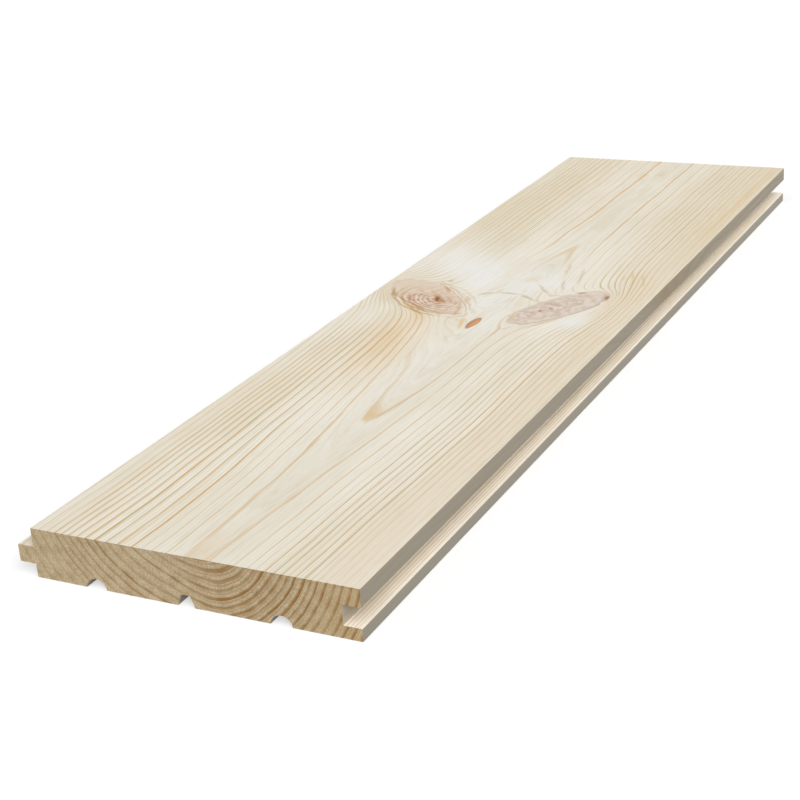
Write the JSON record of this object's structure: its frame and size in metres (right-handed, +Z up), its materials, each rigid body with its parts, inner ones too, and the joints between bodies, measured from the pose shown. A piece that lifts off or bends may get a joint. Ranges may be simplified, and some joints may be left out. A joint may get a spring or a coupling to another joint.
{
  "type": "tongue and groove board",
  "caption": "Planed softwood floor board with a tongue along one edge, a groove along the other and relief grooves along its back.",
  "frame": {"origin": "on the back, in the middle of the outline's width and length", "axes": "+X across the board from the tongue to the groove, +Y along the grain from the near end to the far end, +Z up from the back to the face"},
  "size_m": [0.1452, 0.55, 0.0205],
  "materials": {
    "softwood": "planed, bare"
  },
  "bodies": {
    "root": {"board": "softwood"}
  },
  "joints": []
}
